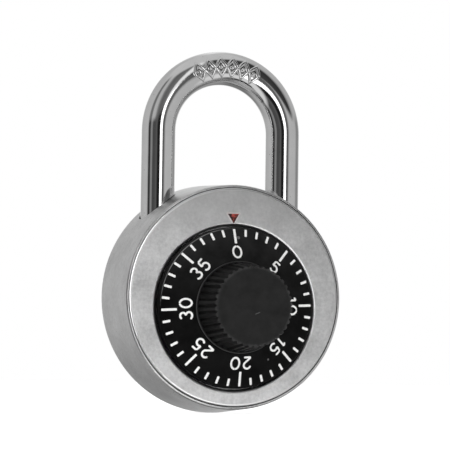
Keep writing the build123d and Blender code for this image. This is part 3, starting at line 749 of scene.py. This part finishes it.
pattern = bmesh.new()
cell = 2 * PATTERN_HALF / PATTERN_CELLS
for k in range(PATTERN_CELLS):
    start = -PATTERN_HALF + k * cell
    for side in (-1, 1):
        stroke(
            pattern,
            [(start, 0), (start + cell / 2, side * PATTERN_REACH), (start + cell, 0)],
            RIB_WIDTH, RIB_RISE, RIB_CORNER, on_arch, PATTERN_STEP,
        )
    stroke(
        pattern,
        [(start + cell / 2, -PIP_SIZE / 2), (start + cell / 2, PIP_SIZE / 2)],
        PIP_SIZE, RIB_RISE, PIP_SIZE / 2, on_arch, PATTERN_STEP,
    )
finish_piece(pattern, "shackle_pattern", by_slot["chrome"], "shackle")

# ---------------------------------------------------------------- floor, light and camera


def make_floor():
    """A wide pale floor, not quite white, with a faint unevenness."""
    sheet = bmesh.new()
    bmesh.ops.create_grid(sheet, x_segments=FLOOR_CELLS, y_segments=FLOOR_CELLS, size=FLOOR_HALF)
    data = bpy.data.meshes.new("floor")
    sheet.to_mesh(data)
    sheet.free()
    floor = bpy.data.objects.new("floor", data)
    floor.location = (0, 0, cad_box[0].z)
    bpy.context.scene.collection.objects.link(floor)
    paint = Paint("floor_paint")
    cloud = paint.noise(FLOOR_CLOUD, detail=2.0)
    paint.set(
        Base_Color=paint.mix(cloud, grey(0.84), grey(0.88)),
        Roughness=0.9,
        Specular_IOR_Level=0.1,
        Emission_Color=(1.0, 1.0, 1.0, 1.0),
        Emission_Strength=FLOOR_GLOW,
    )
    data.materials.append(paint.material)
    floor.visible_glossy = False


# Greys of the set's walls, at three heights: degrees from the camera's side, to the right,
# and a brightness. The middle band holds dark flags and one tall white panel. This is not a plain
# soft studio: the stops were set from how bright the reference's chrome is in each direction,
# so that the shackle's stripes fall in the same places.
HIGH_BAND = (
    (-180, 0.90), (-168, 0.55), (-150, 0.46), (-78, 0.50), (-69, 0.18), (-57, 0.16),
    (-49, 0.48), (-32, 0.46), (-22, 0.20), (-12, 0.12), (10, 0.16), (16, 0.90), (23, 0.90),
    (28, 0.06), (82, 0.03), (92, 0.25), (106, 0.45), (140, 0.48), (168, 0.50), (180, 0.90),
)
MIDDLE_BAND = (
    (-180, 1.00), (-164, 0.80), (-156, 0.46), (-132, 0.46), (-100, 0.50), (-78, 0.50), (-72, 0.30),
    (-68, 0.035), (-57, 0.035), (-51, 0.26), (-42, 0.24), (-37, 0.065), (-20, 0.075), (-12, 0.11),
    (-6, 0.05), (-3, 0.012), (12, 0.012), (15, 2.6), (25, 2.6), (28.5, 0.13), (39, 0.10),
    (46, 0.40), (52, 0.50), (100, 0.48), (116, 0.26), (134, 0.26), (152, 0.50), (168, 0.85),
    (180, 1.00),
)
LOW_BAND = (
    (-180, 0.20), (-150, 0.20), (-138, 0.28), (-120, 0.40), (-86, 0.50), (-80, 0.12), (-62, 0.14),
    (-52, 0.60), (-36, 0.72), (60, 0.76), (90, 0.66), (112, 0.28), (130, 0.14), (150, 0.35),
    (180, 0.20),
)
CEILING = 0.57
UNDERNEATH = 0.11
# heights, as sines, where one band gives way to the next
LOW_TO_MIDDLE_FRONT = (-0.66, -0.52)
LOW_TO_MIDDLE_BACK = (-0.42, -0.16)
MIDDLE_TO_HIGH = (0.20, 0.28)
HIGH_TO_CEILING = (0.80, 0.88)
UNDERNEATH_TO_LOW = (-0.90, -0.84)
# where the back half of the set begins and where it is full, as shares of the way along Y
BACK_HALF = (-0.2, 0.5)


def make_world():
    """A studio of grey walls with dark flags and one tall white panel. The camera itself sees plain
    white instead, so the background is not what the object reflects."""
    world = bpy.data.worlds.new("studio")
    bpy.context.scene.world = world
    world.use_nodes = True
    tree = world.node_tree
    tree.nodes.clear()

    def add(kind, *inputs, **settings):
        made = tree.nodes.new(kind)
        for key, value in settings.items():
            setattr(made, key, value)
        for k, value in enumerate(inputs):
            if isinstance(value, bpy.types.NodeSocket):
                tree.links.new(value, made.inputs[k])
            elif value is not None:
                made.inputs[k].default_value = value
        return made

    def calc(operation, *inputs):
        return add("ShaderNodeMath", *inputs, operation=operation).outputs[0]

    def blend(share, a, b):
        return add("ShaderNodeMix", share, None, a, b, data_type="FLOAT").outputs[0]

    def ramp_up(value, low, high):
        return add("ShaderNodeMapRange", value, low, high, 0.0, 1.0).outputs[0]

    way = add("ShaderNodeTexCoord").outputs["Generated"]
    parts = add("ShaderNodeSeparateXYZ", way).outputs
    angle = calc("ARCTAN2", parts["X"], calc("MULTIPLY", parts["Y"], -1.0))
    turned = calc("SUBTRACT", angle, CAMERA_AZIMUTH)
    share = calc("FRACT", calc("ADD", calc("MULTIPLY", turned, 1 / math.tau), 0.5))

    def band(zones):
        ramp = add("ShaderNodeValToRGB", share)
        stops = ramp.color_ramp.elements
        stops.remove(stops[-1])
        brightest = max(value for degrees, value in zones)
        for k, (degrees, value) in enumerate(zones):
            place = (degrees + 180) / 360
            stop = stops[0] if k == 0 else stops.new(place)
            stop.position = place
            stop.color = (*grey(value / brightest), 1.0)
        return calc("MULTIPLY", ramp.outputs["Color"], brightest)

    height = parts["Z"]
    light = blend(ramp_up(height, *UNDERNEATH_TO_LOW), UNDERNEATH, band(LOW_BAND))
    behind = ramp_up(parts["Y"], *BACK_HALF)
    low_top = [blend(behind, *ends) for ends in zip(LOW_TO_MIDDLE_FRONT, LOW_TO_MIDDLE_BACK)]
    light = blend(ramp_up(height, *low_top), light, band(MIDDLE_BAND))
    light = blend(ramp_up(height, *MIDDLE_TO_HIGH), light, band(HIGH_BAND))
    light = blend(ramp_up(height, *HIGH_TO_CEILING), light, CEILING)
    lit = add("ShaderNodeBackground", (1, 1, 1, 1), light)
    seen = add("ShaderNodeBackground", (1, 1, 1, 1), 1.0)
    camera_ray = add("ShaderNodeLightPath").outputs["Is Camera Ray"]
    both = add("ShaderNodeMixShader", camera_ray, lit.outputs[0], seen.outputs[0])
    out = add("ShaderNodeOutputWorld")
    tree.links.new(both.outputs[0], out.inputs["Surface"])


def make_light(name, place, aim, size, power):
    """A soft oblong light of a width and height, which points at a place."""
    data = bpy.data.lights.new(name, "AREA")
    data.shape = "RECTANGLE"
    data.size, data.size_y = size
    data.energy = power
    light = bpy.data.objects.new(name, data)
    light.location = place
    light.rotation_mode = "QUATERNION"
    light.rotation_quaternion = (Vector(place) - Vector(aim)).to_track_quat("Z", "Y")
    light.visible_camera = False
    bpy.context.scene.collection.objects.link(light)
    return light


def make_camera():
    back = Vector(
        (
            math.sin(CAMERA_AZIMUTH) * math.cos(CAMERA_ELEVATION),
            -math.cos(CAMERA_AZIMUTH) * math.cos(CAMERA_ELEVATION),
            math.sin(CAMERA_ELEVATION),
        )
    )
    right = Vector((math.cos(CAMERA_AZIMUTH), math.sin(CAMERA_AZIMUTH), 0))
    up = back.cross(right)
    rolled_right = right * math.cos(CAMERA_ROLL) + up * math.sin(CAMERA_ROLL)
    rolled_up = up * math.cos(CAMERA_ROLL) - right * math.sin(CAMERA_ROLL)
    data = bpy.data.cameras.new("camera")
    data.lens = CAMERA_LENS
    data.sensor_width = CAMERA_SENSOR
    data.clip_start, data.clip_end = CAMERA_CLIP
    camera = bpy.data.objects.new("camera", data)
    turn = Matrix((rolled_right, rolled_up, back)).transposed()
    camera.matrix_world = Matrix.Translation(CAMERA_PLACE) @ turn.to_4x4()
    bpy.context.scene.collection.objects.link(camera)
    bpy.context.scene.camera = camera


make_floor()
make_world()
softbox = make_light("softbox", SOFTBOX_PLACE, (0, 0, 0), SOFTBOX_SIZE, SOFTBOX_POWER)
# it lights the matt surfaces only, and doesn't show in the metal
softbox.visible_glossy = False
# two cards that light linking keeps off everything but the face plate, as no real lamp could: one
# low in front of it, and a tall one far to its left that shows in its pressed rim
low_aim = (0, plate_low.y, LOW_CARD_AIM_HEIGHT)
low_card = make_light("low_card", LOW_CARD_PLACE, low_aim, LOW_CARD_SIZE, LOW_CARD_POWER)
side_aim = (0, plate_low.y, 0)
side_card = make_light("side_card", SIDE_CARD_PLACE, side_aim, SIDE_CARD_SIZE, SIDE_CARD_POWER)
lit_by_cards = bpy.data.collections.new("lit_by_cards")
lit_by_cards.objects.link(nodes["face_plate"])
for card in (low_card, side_card):
    card.light_linking.receiver_collection = lit_by_cards
make_camera()
bpy.context.scene.view_settings.view_transform = "Standard"
